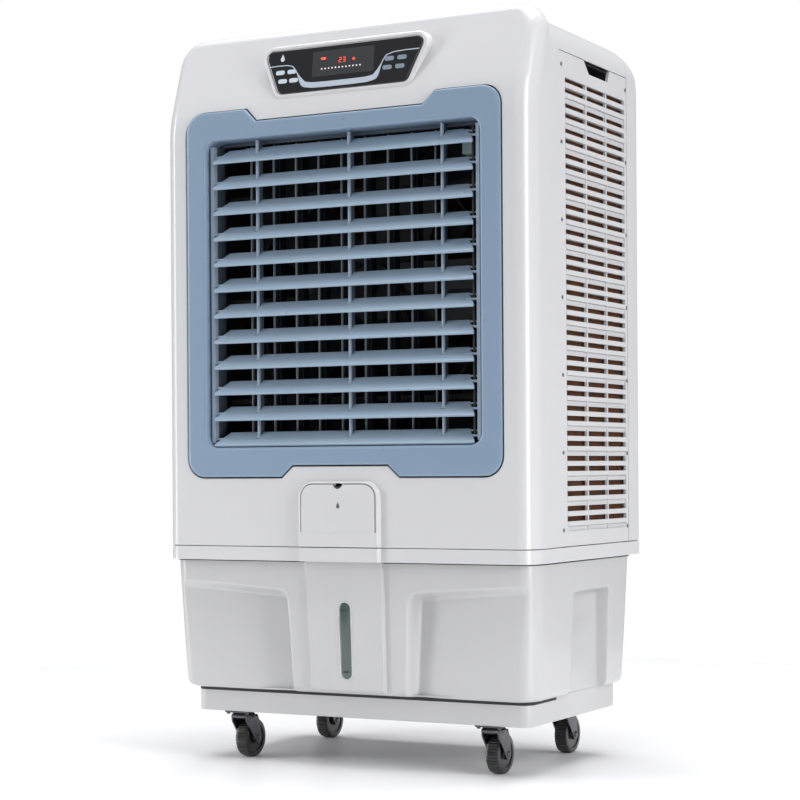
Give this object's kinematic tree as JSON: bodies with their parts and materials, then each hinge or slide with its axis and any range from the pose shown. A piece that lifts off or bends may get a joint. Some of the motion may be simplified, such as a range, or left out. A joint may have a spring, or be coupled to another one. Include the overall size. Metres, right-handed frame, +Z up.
{
  "type": "evaporative cooler",
  "caption": "Upright floor air cooler: louvred front outlet, side pad grilles, sloped control header and a water tank base on swivel casters.",
  "frame": {"origin": "floor level, at the middle of the bounding box in plan", "axes": "+Z up, -Y is the front with the air outlet, +X to the right seen from the front"},
  "size_m": [0.65, 0.443, 1.165],
  "materials": {
    "shell_plastic": "satin, pale lavender white moulding",
    "tank_plastic": "satin, slightly greyer white moulding",
    "slate_plastic": "satin slate blue",
    "blade_plastic": "satin slate blue with lighter front edges",
    "vane_plastic": "satin dark slate",
    "dark_plastic": "matte black",
    "inner_plastic": "matte off-white",
    "fan_plastic": "matte charcoal",
    "motor_plastic": "matte bluish white",
    "motor_metal": "painted grey",
    "bracket_steel": "black coated steel",
    "pad_paper": "brown corrugated cellulose, wet-strength",
    "panel_gloss": "glossy black window",
    "window_smoke": "smoked translucent green-grey",
    "pipe_plastic": "matte grey",
    "zinc_steel": "zinc plated",
    "screw_steel": "dark zinc",
    "plug_rubber": "moulded dark rubber",
    "fork_metal": "gloss black stamped steel",
    "wheel_rubber": "black tread on black hub"
  },
  "bodies": {
    "cabinet": {"tank": "tank_plastic", "base_plinth": "tank_plastic", "deck_frame": "shell_plastic", "main_casing": "shell_plastic", "rear_casing": "shell_plastic", "grille_bezel": "slate_plastic", "rib_frame": "slate_plastic", "vane_carrier": "dark_plastic", "swing_motor": "motor_plastic", "fan_shroud": "dark_plastic", "fan_motor": "motor_metal", "motor_bracket": "bracket_steel", "side_grille_left": "shell_plastic", "side_grille_right": "shell_plastic", "rear_grille": "shell_plastic", "cooling_pads": "pad_paper", "control_pod": "shell_plastic", "control_glass": "panel_gloss", "filler_chute": "inner_plastic", "level_window": "window_smoke", "water_pump": "dark_plastic", "water_pipes": "pipe_plastic", "float_valve": "inner_plastic", "cable_gland": "dark_plastic", "caster_plates": "zinc_steel", "panel_screws": "screw_steel"},
    "filler_flap": {"filler_flap": "shell_plastic"},
    "drain_plug": {"drain_plug": "plug_rubber"},
    "fan_rotor": {"fan_rotor": "fan_plastic"},
    "blade_01": {"blade_01": "blade_plastic"},
    "blade_02": {"blade_02": "blade_plastic"},
    "blade_03": {"blade_03": "blade_plastic"},
    "blade_04": {"blade_04": "blade_plastic"},
    "blade_05": {"blade_05": "blade_plastic"},
    "blade_06": {"blade_06": "blade_plastic"},
    "blade_07": {"blade_07": "blade_plastic"},
    "blade_08": {"blade_08": "blade_plastic"},
    "blade_09": {"blade_09": "blade_plastic"},
    "blade_10": {"blade_10": "blade_plastic"},
    "blade_11": {"blade_11": "blade_plastic"},
    "blade_12": {"blade_12": "blade_plastic"},
    "blade_link": {"blade_link": "dark_plastic"},
    "vane_1": {"vane_1": "vane_plastic"},
    "vane_2": {"vane_2": "vane_plastic"},
    "vane_3": {"vane_3": "vane_plastic"},
    "vane_4": {"vane_4": "vane_plastic"},
    "vane_5": {"vane_5": "vane_plastic"},
    "vane_6": {"vane_6": "vane_plastic"},
    "vane_7": {"vane_7": "vane_plastic"},
    "vane_8": {"vane_8": "vane_plastic"},
    "vane_9": {"vane_9": "vane_plastic"},
    "vane_tie_bar": {"vane_tie_bar": "vane_plastic"},
    "fork_fl": {"fork_fl": "fork_metal"},
    "wheel_fl": {"wheel_fl": "wheel_rubber"},
    "fork_fr": {"fork_fr": "fork_metal"},
    "wheel_fr": {"wheel_fr": "wheel_rubber"},
    "fork_rl": {"fork_rl": "fork_metal"},
    "wheel_rl": {"wheel_rl": "wheel_rubber"},
    "fork_rr": {"fork_rr": "fork_metal"},
    "wheel_rr": {"wheel_rr": "wheel_rubber"}
  },
  "joints": [
    {"name": "flap_hinge", "type": "hinge", "parent": "cabinet", "child": "filler_flap", "pos_m": [0, -0.218, 0.3715], "axis": [1, 0, 0], "range_deg": [0, 75]},
    {"name": "drain_plug_pull", "type": "slide", "parent": "cabinet", "child": "drain_plug", "axis": [0, 1, 0], "range_m": [0, 0.03]},
    {"name": "fan_spin", "type": "hinge", "parent": "cabinet", "child": "fan_rotor", "pos_m": [0, -0.078, 0.746], "axis": [0, 1, 0], "continuous": true},
    {"name": "blade_01_tilt", "type": "hinge", "parent": "cabinet", "child": "blade_01", "pos_m": [0, -0.2, 0.51624], "axis": [1, 0, 0], "range_deg": [-70, 0]},
    {"name": "blade_02_tilt", "type": "hinge", "parent": "cabinet", "child": "blade_02", "pos_m": [0, -0.2, 0.5571], "axis": [1, 0, 0], "range_deg": [-70, 0]},
    {"name": "blade_03_tilt", "type": "hinge", "parent": "cabinet", "child": "blade_03", "pos_m": [0, -0.2, 0.59796], "axis": [1, 0, 0], "range_deg": [-70, 0]},
    {"name": "blade_04_tilt", "type": "hinge", "parent": "cabinet", "child": "blade_04", "pos_m": [0, -0.2, 0.63882], "axis": [1, 0, 0], "range_deg": [-70, 0]},
    {"name": "blade_05_tilt", "type": "hinge", "parent": "cabinet", "child": "blade_05", "pos_m": [0, -0.2, 0.67968], "axis": [1, 0, 0], "range_deg": [-70, 0]},
    {"name": "blade_06_tilt", "type": "hinge", "parent": "cabinet", "child": "blade_06", "pos_m": [0, -0.2, 0.72054], "axis": [1, 0, 0], "range_deg": [-70, 0]},
    {"name": "blade_07_tilt", "type": "hinge", "parent": "cabinet", "child": "blade_07", "pos_m": [0, -0.2, 0.7614], "axis": [1, 0, 0], "range_deg": [-70, 0]},
    {"name": "blade_08_tilt", "type": "hinge", "parent": "cabinet", "child": "blade_08", "pos_m": [0, -0.2, 0.80226], "axis": [1, 0, 0], "range_deg": [-70, 0]},
    {"name": "blade_09_tilt", "type": "hinge", "parent": "cabinet", "child": "blade_09", "pos_m": [0, -0.2, 0.84312], "axis": [1, 0, 0], "range_deg": [-70, 0]},
    {"name": "blade_10_tilt", "type": "hinge", "parent": "cabinet", "child": "blade_10", "pos_m": [0, -0.2, 0.88398], "axis": [1, 0, 0], "range_deg": [-70, 0]},
    {"name": "blade_11_tilt", "type": "hinge", "parent": "cabinet", "child": "blade_11", "pos_m": [0, -0.2, 0.92484], "axis": [1, 0, 0], "range_deg": [-70, 0]},
    {"name": "blade_12_tilt", "type": "hinge", "parent": "cabinet", "child": "blade_12", "pos_m": [0, -0.2, 0.9657], "axis": [1, 0, 0], "range_deg": [-70, 0]},
    {"name": "blade_link_lift", "type": "slide", "parent": "cabinet", "child": "blade_link", "axis": [0, 0, 1], "range_m": [-0.0145, 0]},
    {"name": "vane_1_swing", "type": "hinge", "parent": "cabinet", "child": "vane_1", "pos_m": [-0.179, -0.16, 0.5], "axis": [0, 0, 1], "range_deg": [-25, 25]},
    {"name": "vane_2_swing", "type": "hinge", "parent": "cabinet", "child": "vane_2", "pos_m": [-0.13775, -0.16, 0.5], "axis": [0, 0, 1], "range_deg": [-25, 25]},
    {"name": "vane_3_swing", "type": "hinge", "parent": "cabinet", "child": "vane_3", "pos_m": [-0.0965, -0.16, 0.5], "axis": [0, 0, 1], "range_deg": [-25, 25]},
    {"name": "vane_4_swing", "type": "hinge", "parent": "cabinet", "child": "vane_4", "pos_m": [-0.05525, -0.16, 0.5], "axis": [0, 0, 1], "range_deg": [-25, 25]},
    {"name": "vane_5_swing", "type": "hinge", "parent": "cabinet", "child": "vane_5", "pos_m": [-0.014, -0.16, 0.5], "axis": [0, 0, 1], "range_deg": [-25, 25]},
    {"name": "vane_6_swing", "type": "hinge", "parent": "cabinet", "child": "vane_6", "pos_m": [0.02725, -0.16, 0.5], "axis": [0, 0, 1], "range_deg": [-25, 25]},
    {"name": "vane_7_swing", "type": "hinge", "parent": "cabinet", "child": "vane_7", "pos_m": [0.0685, -0.16, 0.5], "axis": [0, 0, 1], "range_deg": [-25, 25]},
    {"name": "vane_8_swing", "type": "hinge", "parent": "cabinet", "child": "vane_8", "pos_m": [0.10975, -0.16, 0.5], "axis": [0, 0, 1], "range_deg": [-25, 25]},
    {"name": "vane_9_swing", "type": "hinge", "parent": "cabinet", "child": "vane_9", "pos_m": [0.151, -0.16, 0.5], "axis": [0, 0, 1], "range_deg": [-25, 25]},
    {"name": "vane_tie_slide", "type": "slide", "parent": "cabinet", "child": "vane_tie_bar", "axis": [1, 0, 0], "range_m": [-0.0068, 0.0068]},
    {"name": "swivel_fl", "type": "hinge", "parent": "cabinet", "child": "fork_fl", "pos_m": [-0.225, -0.139, 0.068], "axis": [0, 0, 1], "continuous": true},
    {"name": "roll_fl", "type": "hinge", "parent": "fork_fl", "child": "wheel_fl", "pos_m": [-0.225, -0.118, 0.031], "axis": [1, 0, 0], "continuous": true},
    {"name": "swivel_fr", "type": "hinge", "parent": "cabinet", "child": "fork_fr", "pos_m": [0.225, -0.139, 0.068], "axis": [0, 0, 1], "continuous": true},
    {"name": "roll_fr", "type": "hinge", "parent": "fork_fr", "child": "wheel_fr", "pos_m": [0.225, -0.118, 0.031], "axis": [1, 0, 0], "continuous": true},
    {"name": "swivel_rl", "type": "hinge", "parent": "cabinet", "child": "fork_rl", "pos_m": [-0.225, 0.119, 0.068], "axis": [0, 0, 1], "continuous": true},
    {"name": "roll_rl", "type": "hinge", "parent": "fork_rl", "child": "wheel_rl", "pos_m": [-0.225, 0.14, 0.031], "axis": [1, 0, 0], "continuous": true},
    {"name": "swivel_rr", "type": "hinge", "parent": "cabinet", "child": "fork_rr", "pos_m": [0.225, 0.119, 0.068], "axis": [0, 0, 1], "continuous": true},
    {"name": "roll_rr", "type": "hinge", "parent": "fork_rr", "child": "wheel_rr", "pos_m": [0.225, 0.14, 0.031], "axis": [1, 0, 0], "continuous": true}
  ],
  "couplings": [
    {"joint": "blade_02_tilt", "follows": "blade_01_tilt", "ratio": 1},
    {"joint": "blade_03_tilt", "follows": "blade_01_tilt", "ratio": 1},
    {"joint": "blade_04_tilt", "follows": "blade_01_tilt", "ratio": 1},
    {"joint": "blade_05_tilt", "follows": "blade_01_tilt", "ratio": 1},
    {"joint": "blade_06_tilt", "follows": "blade_01_tilt", "ratio": 1},
    {"joint": "blade_07_tilt", "follows": "blade_01_tilt", "ratio": 1},
    {"joint": "blade_08_tilt", "follows": "blade_01_tilt", "ratio": 1},
    {"joint": "blade_09_tilt", "follows": "blade_01_tilt", "ratio": 1},
    {"joint": "blade_10_tilt", "follows": "blade_01_tilt", "ratio": 1},
    {"joint": "blade_11_tilt", "follows": "blade_01_tilt", "ratio": 1},
    {"joint": "blade_12_tilt", "follows": "blade_01_tilt", "ratio": 1},
    {"joint": "blade_link_lift", "follows": "blade_01_tilt", "m_per_rad": 0.01116},
    {"joint": "vane_2_swing", "follows": "vane_1_swing", "ratio": 1},
    {"joint": "vane_3_swing", "follows": "vane_1_swing", "ratio": 1},
    {"joint": "vane_4_swing", "follows": "vane_1_swing", "ratio": 1},
    {"joint": "vane_5_swing", "follows": "vane_1_swing", "ratio": 1},
    {"joint": "vane_6_swing", "follows": "vane_1_swing", "ratio": 1},
    {"joint": "vane_7_swing", "follows": "vane_1_swing", "ratio": 1},
    {"joint": "vane_8_swing", "follows": "vane_1_swing", "ratio": 1},
    {"joint": "vane_9_swing", "follows": "vane_1_swing", "ratio": 1},
    {"joint": "vane_tie_slide", "follows": "vane_1_swing", "m_per_rad": 0.01453}
  ]
}
